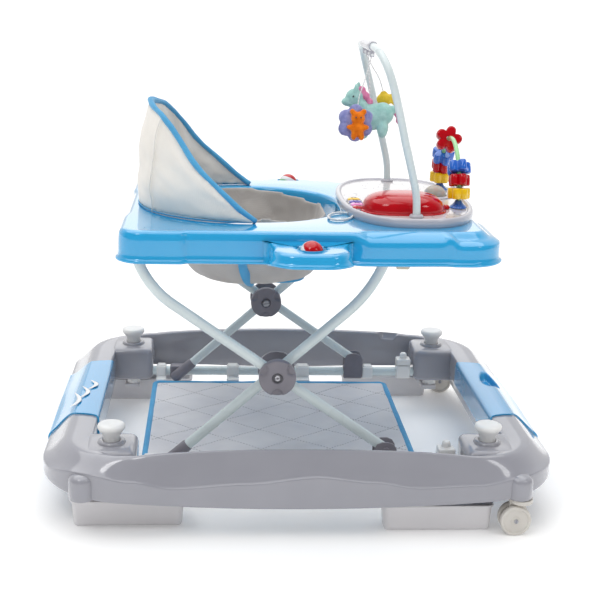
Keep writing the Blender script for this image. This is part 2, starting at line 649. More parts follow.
def coverRows(side):
    stations = 96
    rows = []
    sections = []
    for k in range(stations + 1):
        y = (k / stations * 2 - 1) * (cover["half"] + cover["wave"])
        sections.append(ringSection((side * ring["halfX"], y), (side * ring["innerX"], y)))
    picks = range(5, len(sections[0]) - 3)
    for j in picks:
        share = (j - picks[0]) / (len(picks) - 1)
        reach = cover["half"] + cover["wave"] * math.sin(share * math.tau * 1.15 + 0.6)
        row = []
        for k in range(stations + 1):
            w, z = sections[k][j]
            before, after = sections[k][j - 1], sections[k][j + 1]
            dx, dz = (after[0] - before[0]) * 67, after[1] - before[1]
            size = math.hypot(dx, dz) or 1
            inset = w * 67 - cover["lift"] * dz / size
            height = z + cover["lift"] * dx / size
            y = (k / stations * 2 - 1) * reach
            x = ring["halfX"] - inset
            row.append((side * x, y, height))
        rows.append(row)
    return rows


def smoothCover(side):
    stations, across = 120, 74
    base = coverRows(-1)
    base = [[(abs(x), y, z) for x, y, z in row] for row in base]
    lengths = [0]
    mid = len(base[0]) // 2
    for a, b in zip(base, base[1:]):
        lengths.append(lengths[-1] + math.dist(a[mid], b[mid]))
    rows = []
    for j in range(across + 1):
        target = lengths[-1] * j / across
        i = max(k for k in range(len(lengths)) if lengths[k] <= target + 1e-9)
        i = min(i, len(lengths) - 2)
        t = (target - lengths[i]) / (lengths[i + 1] - lengths[i])
        row = []
        for k in range(len(base[0])):
            x, y, z = (p + (q - p) * t for p, q in zip(base[i][k], base[i + 1][k]))
            if side > 0 and z > 90:
                z -= cupDip(x, y, 0)
            row.append((side * x, y, z))
        rows.append(row)
    return grid(rows)


piece("endCovers", merge(smoothCover(1), smoothCover(-1)), coverBlue, "base", ("end_covers",),
        sharp=0,
      modifiers=(("SOLIDIFY", {"thickness": 0.0024, "offset": -1}),
      ("BEVEL", {"width": 0.0007, "segments": 3, "limit_method": "ANGLE"})))
stripes = []
for k, width in enumerate((62, 50, 40)):
    y0 = -70 + 34 * k
    line = [(-322 + 9 * k + 10 * math.sin(t / 9 * math.pi), y0 + width * (t / 9 - 0.5), 108.4) for t in range(10)]
    stripes.append(tube(smoothPath(line, 4), [3.2 * math.sin(math.pi * (i + 1) / 38) + 0.2 for i in range(37)], 10,
            flat=0.12))
piece("coverStripes", merge(*stripes), whiteGloss, "base", sharp=0)
print("end covers made")

# ---- rails, clips and latches ----
rail = {"y": 200, "z": 64, "width": 15, "mat": 171}
nodes["rails"].data.materials.clear()
nodes["rails"].data.materials.append(paintedTube)


def railClip(x0, x1, tab=True):
    y, z = rail["y"], rail["z"]
    body = block((x0, x1), (y - 10.5, y + 9.5), (z - 10, z + 10), 2.6)
    rib = block((x0 + 2, x1 - 2), (y - 8, y + 7), (z + 9, z + 11.4), 1)
    foot = block((x0, x1), (rail["mat"] + 0.6, y - 8), (48.5, 57.6), 1.6)
    return merge(body, rib, foot) if tab else merge(body, rib)


piece("matClips", bothSides(merge(*[railClip(*x) for x in ((-213, -197), (-96, -76), (20, 42))])), whiteCap, "base",
        ("mat_clips",))
piece("frontMatClips", bothSides(railClip(132.4, 150, False)), whiteCap, "slider",
        ("front_mat_clips",))
latch = merge(block((190, 214), (190, 210), (54, 80), 2.4), block((190, 214), (190, 210), (74, 88), 2.4),
              shifted(lathe([(6.4, 87), (6.4, 88.4), (7, 88.9), (8.6, 88.6), (9.3, 87.4)], 32), 202, 200, 0))
piece("latchBlocks", bothSides(latch), whiteCap, "base", ("latch_blocks",))
button = lathe([(0, 81), (5.9, 81), (6, 82), (6, 93), (5.4, 95.6), (3.8, 97.1), (0, 97.5)], 32)
for name, side in (("right", -1), ("left", 1)):
    piece("latchButton" + name.title(), shifted(button, 202, side * rail["y"], 0), whiteCap, "latch_button_" + name,
            ("latch_button_" + name,))
pivotX = -178.7025
pivot = merge(block((pivotX - 12, pivotX + 12), (191, 210), (53, 74), 3),
        alongY(lathe([(0, 0), (3, 0), (3, 17.6), (0, 17.6)], 24), pivotX, 173, 60.991, 1),
              alongY(lathe([(0, 0), (5.5, 0), (5.5, 1.6), (4.6, 2.4), (0, 2.4)], 24), pivotX, 209.5, 60.991, 1))
piece("railPivots", bothSides(pivot), hubGrey, "base", ("rail_pivots",))
print("rails and latches made")

# ---- quilted mat: padded grid with diagonal channels, blue binding, stitches by Geometry Nodes ----
mat = {"x": (-215, 167), "y": 171, "z": 54.4, "thick": 4.2, "quilt": 62, "sag": 3.0}


def quiltHeight(x, y):
    a = abs(math.sin(math.pi * (x + y * 1.25) / mat["quilt"] / 1.6))
    b = abs(math.sin(math.pi * (x - y * 1.25) / mat["quilt"] / 1.6))
    return 1.9 * (a ** 0.32 + b ** 0.32) / 2


def matTop(x, y):
    x0, x1 = mat["x"]
    u, v = (x - x0) / (x1 - x0), (y + mat["y"]) / (2 * mat["y"])
    middle = math.sin(math.pi * min(max(u, 0), 1)) * math.sin(math.pi * min(max(v, 0), 1))
    wrinkle = 1.1 * noise.noise(Vector((x / 70, y / 55, 2.0))) + 0.5 * noise.noise(Vector((x / 26, y / 34, 7.0)))
    return mat["z"] - mat["sag"] * middle + quiltHeight(x, y) - 1.9 + wrinkle * min(1, middle * 4)


def matShape():
    x0, x1 = mat["x"]
    countX, countY = 190, 170
    top, bottom = [], []
    for i in range(countX + 1):
        x = x0 + (x1 - x0) * i / countX
        edge = min(1, min(i, countX - i) / 3)
        rowTop, rowLow = [], []
        for j in range(countY + 1):
            y = -mat["y"] + 2 * mat["y"] * j / countY
            rim = min(edge, min(1, min(j, countY - j) / 3))
            z = matTop(x, y)
            rowTop.append((x, y, z * rim + (mat["z"] - 2) * (1 - rim)))
            rowLow.append((x, y, (z - mat["thick"]) * rim + (mat["z"] - 2) * (1 - rim)))
        top.append(rowTop)
        bottom.append(rowLow)
    a, b = grid(top), grid(bottom)
    return merge(a, (b[0], [tuple(reversed(f)) for f in b[1]]))


footMat = piece("footMat", matShape(), matCloth, "base", ("foot_mat",), sharp=0)
edgeLine = [(x, y, mat["z"] - 1.6 + 0.9 * noise.noise(Vector((x / 30, y / 30, 0)))) for x,
        y in roundedLoop(mat["x"][0] + 1, mat["x"][1] - 1, 1 - mat["y"], mat["y"] - 1, 10, 8, 40)]
piece("matBinding", tube(edgeLine, 4.2, 16, close=True, flat=0.62), bindingCloth, "base", sharp=0)


def stitchLine(name, path, spacing, size, material, body):
    # Geometry Nodes: small capsules along a curve, laid in its direction
    curve = bpy.data.curves.new(name + "Path", "CURVE")
    curve.dimensions = "3D"
    for line in path:
        spline = curve.splines.new("POLY")
        spline.points.add(len(line) - 1)
        for p, q in zip(spline.points, line):
            p.co = [c / 1000 for c in q] + [1]
    source = bpy.data.objects.new(name + "Path", curve)
    bpy.context.scene.collection.objects.link(source)
    tree = bpy.data.node_groups.new(name, "GeometryNodeTree")
    face = tree.interface
    face.new_socket("Geometry", in_out="INPUT", socket_type="NodeSocketGeometry")
    spacingSocket = face.new_socket("Spacing", in_out="INPUT", socket_type="NodeSocketFloat")
    sizeSocket = face.new_socket("Stitch Length", in_out="INPUT", socket_type="NodeSocketFloat")
    face.new_socket("Geometry", in_out="OUTPUT", socket_type="NodeSocketGeometry")
    start = addNode(tree, "NodeGroupInput")
    points = addNode(tree, "GeometryNodeCurveToPoints", {"mode": "LENGTH"},
            {"Curve": start.outputs[0], "Length": start.outputs[1]})
    thick = addNode(tree, "ShaderNodeMath", {"operation": "MULTIPLY"}, {0: start.outputs[2], 1: 0.26})
    bead = addNode(tree, "GeometryNodeMeshUVSphere", inputs={"Segments": 8, "Rings": 6, "Radius": 1.0})
    scale = addNode(tree, "ShaderNodeCombineXYZ", inputs={"X": thick.outputs[0], "Y": thick.outputs[0]})
    long = addNode(tree, "ShaderNodeMath", {"operation": "MULTIPLY"}, {0: start.outputs[2], 1: 0.5})
    tree.links.new(long.outputs[0], scale.inputs["Z"])
    copies = addNode(tree, "GeometryNodeInstanceOnPoints",
            inputs={"Points": points.outputs["Points"], "Instance": bead.outputs["Mesh"],
                                                                "Rotation": points.outputs["Rotation"],
                                                                "Scale": scale.outputs[0]})
    real = addNode(tree, "GeometryNodeRealizeInstances", inputs={"Geometry": copies.outputs[0]})
    finish = addNode(tree, "GeometryNodeSetMaterial", inputs={"Geometry": real.outputs[0], "Material": material})
    end = addNode(tree, "NodeGroupOutput")
    tree.links.new(finish.outputs[0], end.inputs[0])
    mod = source.modifiers.new("stitches", "NODES")
    mod.node_group = tree
    mod[spacingSocket.identifier] = spacing / 1000
    mod[sizeSocket.identifier] = size / 1000
    graph = bpy.context.evaluated_depsgraph_get()
    graph.update()
    mesh = bpy.data.meshes.new_from_object(source.evaluated_get(graph))
    bpy.data.objects.remove(source)
    mesh.shade_smooth()
    if not mesh.materials:
        mesh.materials.append(material)
    obj = bpy.data.objects.new(name, mesh)
    bpy.context.scene.collection.objects.link(obj)
    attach(obj, body)
    return obj


def quiltLines():
    # where each family of channels crosses the mat
    lines = []
    x0, x1 = mat["x"]
    step = mat["quilt"] * 1.6
    for sign in (1, -1):
        for k in range(-6, 7):
            line = []
            for j in range(121):
                y = -mat["y"] + 6 + (2 * mat["y"] - 12) * j / 120
                x = step * k - sign * y * 1.25
                if x0 + 6 < x < x1 - 6:
                    line.append((x, y, matTop(x, y) + 0.15))
            if len(line) > 4:
                lines.append(line)
    return lines


stitchLine("matStitches", quiltLines(), 5.2, 3.4, greyThread, "base")
print("mat made")

# ---- casters, stop pads and knobs ----
wheel = {"r": 20.75, "rearX": -268, "rearY": 248, "frontX": 282, "frontY": 284}


def wheelShape(half):
    r = wheel["r"]
    return lathe([(3.1, -half), (5.5, -half), (6, -half + 1), (8, -half + 1.6), (r - 5, -half + 1.6),
            (r - 3.4, -half + 0.2), (r - 1.2, -half + 0.4), (r - 0.2, -half + 1.6), (r, -half + 3),
                  (r, half - 3), (r - 0.2, half - 1.6), (r - 1.2, half - 0.4), (r - 3.4, half - 0.2),
                  (r - 5, half - 1.6), (8, half - 1.6), (6, half - 1), (5.5, half), (3.1, half)], 56)


axleCap = lathe([(0, -1), (3, -1), (3, 0.4), (2.4, 1.2), (0, 1.6)], 24)
frontSide = merge(shifted(wheelShape(4.2), 0, 0, -8), shifted(wheelShape(4.2), 0, 0, 8),
        lathe([(0, -12), (3, -12), (3, 12), (0, 12)], 20))
for name, side in (("right", -1), ("left", 1)):
    y = side * wheel["frontY"]
    piece("frontWheel" + name.title(), alongY(frontSide, wheel["frontX"], y, 20.75, side), wheelPlastic,
            "front_wheel_" + name, ("front_wheel_" + name,))
    piece("frontAxleCap" + name.title(), merge(alongY(axleCap, wheel["frontX"], y + 12.4, 20.75, 1),
            alongY(axleCap, wheel["frontX"], y - 12.4, 20.75, -1)), boltSteel, "front_wheel_" + name)
    piece("rearWheel" + name.title(), alongY(wheelShape(8), wheel["rearX"], side * wheel["rearY"], 20.75, side),
            wheelPlastic, "rear_wheel_" + name, ("rear_wheel_" + name,))


def softened(name, width=0.8, segments=3):
    # CAD node's own shape, merged, with rounded edges
    mesh = nodes[name].data.copy()
    obj = bpy.data.objects.new(name + "Rounded", mesh)
    bpy.context.scene.collection.objects.link(obj)
    bm = bmesh.new()
    bm.from_mesh(mesh)
    bmesh.ops.remove_doubles(bm, verts=bm.verts, dist=2e-5)
    bmesh.ops.dissolve_limit(bm, angle_limit=math.radians(1.5), verts=bm.verts, edges=bm.edges)
    bm.to_mesh(mesh)
    bm.free()
    mod = obj.modifiers.new("bevel", "BEVEL")
    mod.width, mod.segments, mod.limit_method, mod.angle_limit = width / 1000, segments, "ANGLE", math.radians(40)
    apply(obj)
    obj.data.shade_smooth()
    obj.data.set_sharp_from_angle(angle=math.radians(38))
    return obj


def roundedNode(name, material, body, width=0.8):
    obj = softened(name, width)
    obj.data.materials.clear()
    obj.data.materials.append(material)
    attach(obj, body)
    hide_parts(name)
    return obj


for name in ("right", "left"):
    roundedNode("front_fork_" + name, wheelPlastic, "caster_" + name, 1.2)
roundedNode("rear_forks", beigeNylon, "base", 1.2)


def stopPad(x0, x1, y0, y1):
    # open tub: rolled lip, drafted walls, thick floor
    loop = roundedLoop(x0, x1, y0, y1, 9, 8, 10)
    profile = [(3.4, 36), (3.2, 37.2), (2.2, 38), (-0.2, 38), (-1.4, 37.3), (-1.6, 36), (-1.3, 34.6), (0.2, 34),
            (0.8, 33), (1.8, 12), (2.6, 4), (4, 1.2), (6.5, 0.1)]
    outside = rise(loop, profile)
    inside = rise(loop, [(4.2, 33), (5, 12), (6, 4.5), (8.6, 3.2)])
    return merge(grid(outside, wrap=True, capEnd=True), grid(inside, wrap=True, capEnd=True),
                 grid([outside[0], inside[0]], wrap=True))


for end, sx, box in (("rear", -1, (156, 304, 230, 265)), ("front", 1, (106, 254, 250, 282))):
    for name, sy in (("right", -1), ("left", 1)):
        x0, x1, y0, y1 = box
        xs = (x0, x1) if sx > 0 else (-x1, -x0)
        ys = (y0, y1) if sy > 0 else (-y1, -y0)
        body = "stop_" + end + "_" + name
        stem = sy * 224
        arm = block((sx * 253 - 14, sx * 253 + 10), (min(stem - 12, stem + 12), max(stem - 12, stem + 12)), (28, 36),
                1.5)
        node = "stop_pad_" + end + "_" + name
        low, high = (Vector(c) * 1000 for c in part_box(node))
        tub = stopPad(*xs, *ys)
        if end == "front":
            arm = block((low.x if sx < 0 else 239, 263), (min(sy * 211, sy * 251), max(sy * 211, sy * 251)), (28, 36),
                    1.5)
        piece("stopPad" + end.title() + name.title(), merge(tub, arm), padPlastic, body, (node,),
                sharp=40)
        cap = lathe([(0, 36), (10.9, 36), (11, 37), (11, 112), (12.4, 117), (15.6, 121.4), (17.6, 123.6),
                (18.4, 125.2), (18.5, 127.4), (17.8, 129.6), (15.8, 131), (12.5, 131.4), (8, 130.4), (0, 129.6)], 56)
        piece("knob" + end.title() + name.title(), shifted(cap, sx * 253, stem, 0), whiteCap, body,
                ("knob_" + end + "_" + name,), sharp=50)
print("casters, pads and knobs made")

# ---- scissor frame ----
scissor = {"hub": (-33.5, 191.0), "tiltA": 41.84, "tiltB": 34.9, "lowA": 194.9, "lowB": 183.5, "bendA": 125,
        "bendB": 170,
           "radiusA": 180, "radiusB": 124, "topA": 75, "topB": 78, "legA": 182, "legB": 200, "tube": 14}


def legPath(low, tilt, bend, radius, top, side):
    hx, hz = scissor["hub"]
    c, s = math.cos(math.radians(tilt)), math.sin(math.radians(tilt))
    pts = [(hx - side * low * c, hz - low * s), (hx - side * low * 0.5 * c, hz - low * 0.5 * s), (hx, hz),
            (hx + side * bend * c, hz + bend * s)]
    cx, cz = bend * c - radius * s, bend * s + radius * c
    for k in range(1, 15):
        a = math.radians(tilt + (top - tilt) * k / 14 - 90)
        pts.append((hx + side * (cx + radius * math.cos(a)), hz + cz + radius * math.sin(a)))
    return pts


def frameTube(low, tilt, bend, radius, top, side, y):
    leg = legPath(low, tilt, bend, radius, top, side)
    end, before = leg[-1], leg[-2]
    away = (Vector((end[0] - before[0], 0, end[1] - before[1]))).normalized()
    turn = 15
    near = [(x, -y, z) for x, z in leg[:-1]]
    centre = Vector((end[0], -y + turn, end[1])) - away * turn
    near = [p for p in near if Vector((p[0], 0, p[2])).dot(away) < Vector((centre.x, 0, centre.z)).dot(away)]
    bend = [tuple(centre + away * turn * math.sin(a) - Vector((0, turn,
            0)) * math.cos(a)) for a in [math.pi / 2 * k / 8 for k in range(9)]]
    half = near + bend
    full = half + [(p[0], -p[1], p[2]) for p in reversed(half)]
    return tube(full, scissor["tube"] / 2, 28)


frameA = frameTube(scissor["lowA"] - 9, scissor["tiltA"], scissor["bendA"], scissor["radiusA"], scissor["topA"], 1,
        scissor["legA"])
frameB = frameTube(scissor["lowB"] + 4, scissor["tiltB"], scissor["bendB"], scissor["radiusB"], scissor["topB"], -1,
        scissor["legB"])
piece("innerFrame", frameA, paintedTube, "arm_a", ("frame_a",), sharp=60)
piece("outerFrame", frameB, paintedTube, "arm_b", ("frame_b",), sharp=60)


def hubDisc(thick, scallops=True, radius=25):
    # round disc with three scalloped hollows and a raised boss, lying in Z
    rows = []
    steps = 96
    for share in (1.0, 0.995, 0.97, 0.93, 0.88, 0.82, 0.76, 0.7, 0.64, 0.58, 0.52, 0.46, 0.4, 0.36, 0.32, 0.27, 0.2):
        row = []
        for k in range(steps):
            a = math.tau * k / steps
            r = radius * share
            z = thick * (0.25 if share == 1.0 else 0.8 if share == 0.995 else 1.0) - (0.3 if share > 0.96 else 0)
            if scallops:
                for i in range(3):
                    b = math.radians(30 + 120 * i)
                    d = math.hypot(r * math.cos(a) - radius * 0.93 * math.cos(b),
                            r * math.sin(a) - radius * 0.93 * math.sin(b))
                    z -= 3.4 * (1 - ease(d, 6.2, 8.4))
            if share < 0.3:
                z -= 1.8
            row.append((r * math.cos(a), r * math.sin(a), z))
        rows.append(row)
    wall = [[(x, y, 0) for x, y, z in rows[0]]]
    return grid(wall + rows, wrap=True, capStart=True, capEnd=True)


hx, hz = scissor["hub"]
outerDisc = merge(alongY(hubDisc(9), hx, 207, hz, 1), alongY(hubDisc(9), hx, -207, hz, -1))
piece("hubOuterDiscs", outerDisc, hubGrey, "arm_b", ("hub_outer_discs",), sharp=42)
screw = lathe([(0, 0), (4.2, 0), (4.4, 0.8), (4.4, 2.2), (3.6, 3.0), (1.6, 3.0), (1.3, 1.6), (0, 1.6)], 36)
collarRing = lathe([(4.8, 0), (4.8, 1.9), (5.6, 2.6), (7.0, 2.6), (7.6, 1.9), (7.6, 0)], 40)
bolts = merge(*[merge(alongY(screw, hx, s * 212, hz, s),
        alongY(lathe([(0, 0), (3.9, 0), (3.9, 46), (0, 46)], 24), hx, s * 166, hz, s),
                      alongY(lathe([(0, 0), (6.4, 0), (6.4, 2.4), (5, 3.4), (0, 3.4)], 6), hx, s * 166.6, hz,
                      -s)) for s in (1, -1)])
piece("hubBolts", bolts, boltSteel, "arm_b", ("hub_bolts",), sharp=35)
piece("hubScrewRings", merge(alongY(collarRing, hx, 212.6, hz, 1), alongY(collarRing, hx, -212.6, hz, -1)), darkGloss,
        "arm_b", sharp=45)
innerDisc = merge(alongY(hubDisc(7.4), hx, 175, hz, -1), alongY(hubDisc(7.4), hx, -175, hz, 1))
shoes = []
for s in (-1, 1):
    c, d = math.cos(math.radians(scissor["tiltA"])), math.sin(math.radians(scissor["tiltA"]))
    shoePath = [(-178.7 + t * c, s * 182, 60.99 + t * d) for t in (-9, -7, 0, 8, 20, 32, 35)]
    shoes.append(tube(shoePath, [4.5, 8.2, 9.2, 8.8, 8.5, 8.4, 7.6], 28))
piece("innerFrameFittings", merge(innerDisc, *shoes), hubGrey, "arm_a", ("frame_a_fittings",),
        sharp=40)


def sliderBracket():
    # upright cheeks on a rail sleeve, with a pin through the tube
    x0, x1 = 101, 132
    cheeks = []
    for y0 in (189.2, 207.8):
        pts = [(x0, 60), (x1, 60), (x1, 88), (x1 - 4, 95), (x1 - 11, 98), (x0 + 11, 98), (x0 + 4, 95), (x0, 88)]
        bm = bmesh.new()
        lower = [bm.verts.new((x, y0, z)) for x, z in pts]
        upper = [bm.verts.new((x, y0 + 3, z)) for x, z in pts]
        bm.faces.new(lower)
        bm.faces.new(reversed(upper))
        for i in range(len(pts)):
            bm.faces.new((lower[i], upper[i], upper[(i + 1) % len(pts)], lower[(i + 1) % len(pts)]))
        bmesh.ops.bevel(bm, geom=bm.edges[:], offset=0.9, segments=3, profile=0.5, affect="EDGES")
        bm.verts.ensure_lookup_table()
        cheeks.append(([tuple(v.co) for v in bm.verts], [tuple(v.index for v in f.verts) for f in bm.faces]))
        bm.free()
    sleeve = block((x0 - 0.6, x1 + 0.6), (190.4, 209.6), (53, 75), 4)
    pin = alongY(lathe([(0, 0), (3, 0), (3, 22), (5.4, 22), (5.4, 23.4), (4.4, 24.2), (0, 24.2)], 28), 117, 189,
            86.011, 1)
    return merge(*cheeks, sleeve, pin)


piece("sliderBrackets", bothSides(sliderBracket()), hubGrey, "slider", ("slider_brackets",), sharp=38)
print("scissor frame made")

# ---- tray ----
tray = {"top": 388, "rear": -241, "front": 258, "side": 211, "lobe": 5, "seatX": -64, "seatR": 125,
        "seatStraight": 14, "ball": (3, 262, 374)}


def trayHalf():
    # outline of the y > 0 half, from the middle of the front to the middle of the rear
    pts = []
    for k in range(24):
        y = 168 * k / 24
        pts.append((tray["front"] + 6 * ease(y, 56, 84), y))
    for k in range(21):
        a = math.pi / 2 * k / 20
        pts.append((216 + 48 * math.cos(a), 168 + 48 * math.sin(a)))
    x = 214
    while x > -213:
        y = tray["side"] + tray["lobe"] * (ease(x, 56, 78) - 0.6 * ease(x, 120, 184) + 0.6 * ease(x, 187,
                198) + ease(-x, 153, 163))
        pts.append((x, y))
        x -= 2.6
    for k in range(17):
        a = math.pi / 2 + math.pi / 2 * k / 16
        pts.append((-213 + 32 * math.cos(a), 184 + 32 * math.sin(a)))
    for k in range(1, 25):
        y = 184 * (1 - k / 24)
        pts.append((tray["rear"] - 4 * ease(y, 70, 110), y))
    return pts


def trayOutline():
    half = trayHalf()
    return half + [(x, -y) for x, y in reversed(half[1:-1])]


def seatLoop(grow=0, steps=120):
    r = tray["seatR"] + grow
    out = []
    for k in range(steps):
        a = math.tau * (k + 0.5) / steps
        out.append((tray["seatX"] + r * math.cos(a),
                (tray["seatStraight"] if a < math.pi else -tray["seatStraight"]) + r * math.sin(a)))
    return out


lipProfile = [(3.4, 384), (3.2, 353), (2.6, 348.4), (1.0, 346.3), (-1.2, 346), (-3.1, 346.8), (-3.7, 348.4),
        (-3.1, 350), (-1.3, 351.3), (-0.2, 353), (0.1, 357), (0.3, 366)]
skirtProfile = lipProfile + [(0.5, 375), (1.1, 380), (2.0, 383.4), (3.6, 385.8), (5.9, 387.3), (8.8, 387.9),
        (12, 388), (15, 388)]
deckProfile = skirtProfile + [(18, 388), (21, 388), (24, 388), (27, 388), (30, 388)]
outline = trayOutline()


def lowered(x, inset, z):
    # the front corner lobes lie lower than the deck, and the edge behind them is rounder
    if z < 372:
        return z
    share = (z - 372) / 16
    corner = 9 * ease(x, 184, 200) * (1 - ease(inset, 12, 27)) + 4 * ease(x, 190, 206) * (1 - ease(inset, 0, 12))
    bulge = 10 * ease(x, 62, 84) * (1 - ease(x, 178, 192)) * (1 - ease(inset, -3, 25))
    return z - share * (corner + bulge)


def inward(loop, window=7):
    # inward directions, averaged along the outline so that deep insets don't cross at the steps
    count = len(loop)
    raw = []
    for i in range(count):
        ahead, behind = loop[(i + 1) % count], loop[i - 1]
        size = math.dist(ahead, behind)
        raw.append(((behind[1] - ahead[1]) / size, (ahead[0] - behind[0]) / size))
    out = []
    for i in range(count):
        total = Vector((0, 0))
        for k in range(-window, window + 1):
            total += Vector(raw[(i + k) % count]) * (window + 1 - abs(k))
        out.append(total.normalized())
    return out


ways2d = inward(outline)


def trayRows(profile):
    return [[(x + n.x * inset, y + n.y * inset, lowered(x, inset, z)) for (x, y),
            n in zip(outline, ways2d)] for inset, z in profile]


deckEdge = [(x, y) for x, y, z in trayRows([(30, 388)])[0]]
seatEdge = seatLoop(7)
deck = fillBetween(deckEdge, seatEdge, 388)
seatWall = grid([[(x, y, z) for x, y in seatLoop(grow)] for grow,
        z in ((7, 388), (4.4, 387.6), (2.2, 386.5), (0.7, 384.6), (0, 382), (0, 354), (1, 353.2), (2.6, 354),
        (2.8, 384))], wrap=True)


def rattleLobe():
    bx, by, bz = tray["ball"]
    loop = [(69, 194), (69, 202)]
    loop += [(69 - 14 * math.sin(a), 223 - 14 * math.cos(a)) for a in [math.pi / 2 * k / 10 for k in range(11)]]
    loop += [(55, y) for y in range(229, 258, 6)]
    loop += [(21 + 34 * math.cos(a), 258 + 34 * math.sin(a)) for a in [math.pi / 2 * k / 14 for k in range(15)]]
    loop += [(x, 292) for x in (14, 7, 0, -7)]
    loop += [(-14 - 34 * math.sin(a), 258 + 34 * math.cos(a)) for a in [math.pi / 2 * k / 14 for k in range(15)]]
    loop += [(-48, y) for y in range(252, 224, -6)]
    loop += [(-62 + 14 * math.cos(a), 223 - 14 * math.sin(a)) for a in [math.pi / 2 * k / 10 for k in range(11)]]
    loop += [(-62, 202), (-62, 194)] + [(x, 194) for x in range(-54, 69, 8)]
    drop = [(i, z - 11 if z > 366 else z + 13) for i, z in skirtProfile if not 353 < z < 379]
    wall = [[(x + (p - x) * g, y + (q - y) * g, z) for (x, y),
            (p, q, z) in zip(loop, row) for g in (0.12 + 0.88 * ease(y, 212, 242) if z > 366 else 1,
            )] for row in rise(loop, drop)]
    wall = [[(x, y, z - 13 * (1 - ease(y, 216, 286)) * ease(-z, -372, -364)) for x, y, z in row] for row in wall]
    last = wall[-1]
    rows = []
    for t in (0.15, 0.35, 0.55, 0.75, 0.88, 0.94, 0.975, 1.0, 1.0):
        row = []
        for i, (x, y, z) in enumerate(last):
            a = math.atan2(y - by, x - bx)
            r = 16.4
            cx, cy = bx + r * math.cos(a), by + r * math.sin(a)
            row.append((x + (cx - x) * t, y + (cy - y) * t, 377 + 2.2 * math.exp(-((t - 0.93) / 0.05) ** 2)))
        rows.append(row)
    rows[-1] = [(x, y, 368) for x, y, z in rows[-1]]
    return grid(wall + rows, wrap=True)


trayShape = merge(grid(trayRows(deckProfile), wrap=True), deck, seatWall)
piece("trayShell", trayShape, skyBlue, "tray", ("tray_shell",), sharp=55, weld=0.03)
under = fillBetween([(x, y) for x, y, z in trayRows([(3.4, 0)])[0]], seatLoop(2.8), 375)
lobeShape = bothSides(rattleLobe())
piece("trayUnderside", (list(under[0]), [tuple(reversed(f)) for f in under[1]]), skyBlue, "tray",
        sharp=0)
piece("rattleLobes", lobeShape, skyBlue, "tray", sharp=50)
well = lathe([(16.6, 376.4), (15.9, 372), (12, 362), (6, 359.6), (0, 359.4)], 48)
piece("rattleWells", bothSides(shifted(well, tray["ball"][0], tray["ball"][1], 0)), skyBlue, "tray",
        sharp=0)


def rattleBall(name, side):
    # three-coloured ball: red above, white band, green below, each its own shell
    bx, by, bz = tray["ball"]
    profile = [(15 * math.sin(math.pi * k / 36), -15 * math.cos(math.pi * k / 36)) for k in range(37)]
    axle = place(lathe([(0, -20.8), (1.9, -20.8), (1.9, 20.8), (0, 20.8)], 16), Matrix.Rotation(math.pi / 2, 4, "Y"))
    turn = Matrix.Translation((bx, side * by, bz)) @ Matrix.Rotation(math.radians(28 * -side), 4,
            "X") @ Matrix.Rotation(math.radians(24), 4, "Y")
    body = "ball_" + name
    parts = (("Green", greenGloss, profile[:18], 0.0), ("White", whiteGloss, profile[17:23], 0.12),
            ("Red", redGloss, profile[22:], 0.0))
    for label, material, stretch, grow in parts:
        shape = place(lathe([(r + grow if r > 0.1 else 0, z) for r, z in stretch], 48), turn)
        if label == "Red":
            shape = merge(shape, shifted(axle, bx, side * by, bz))
        piece("rattleBall" + label + name.title(), shape, material, body,
                ("rattle_ball_" + name,) if label == "Red" else (), sharp=50)


rattleBall("right", -1)
rattleBall("left", 1)


roundedNode("tray_bearings", beigeNylon, "tray", 1.0)
bracket = block((121, 139), (-200, -192), (338, 356), 2.4)
piece("trayLatchTab", merge(bracket, block((118, 142), (-201, -190), (353, 370), 1.5)), beigeNylon, "tray")
print("tray made")

# ---- seat: padded sling and hood, inflated by cloth simulation ----
soft = {"voxel": 0.0036, "pressure": 3.2, "frames": 16, "capSling": 7, "capHood": 7}


def inflate(obj, cap, pin=None):
    # closed pad: even mesh, a short cloth run under pressure, movement capped in mm, one subdivision
    mesh = obj.data
    mod = obj.modifiers.new("even", "REMESH")
    mod.mode, mod.voxel_size = "VOXEL", soft["voxel"]
    apply(obj)
    start = [v.co.copy() for v in obj.data.vertices]
    group = obj.vertex_groups.new(name="held")
    if pin:
        group.add([v.index for v in obj.data.vertices if pin(v.co * 1000)], 1.0, "REPLACE")
    cloth = obj.modifiers.new("cloth", "CLOTH")
    cloth.settings.quality = 6
    cloth.settings.mass = 0.25
    cloth.settings.tension_stiffness = cloth.settings.compression_stiffness = 18
    cloth.settings.bending_stiffness = 0.6
    cloth.settings.use_pressure = True
    cloth.settings.uniform_pressure_force = soft["pressure"]
    cloth.settings.vertex_group_mass = "held"
    cloth.settings.effector_weights.gravity = 0
    cloth.collision_settings.use_collision = False
    scene = bpy.context.scene
    for step in range(1, soft["frames"] + 1):
        scene.frame_set(step)
    apply(obj)
    for v, old in zip(obj.data.vertices, start):
        move = v.co - old
        if move.length > cap / 1000:
            v.co = old + move.normalized() * cap / 1000
    scene.frame_set(1)
    obj.vertex_groups.clear()
    return obj


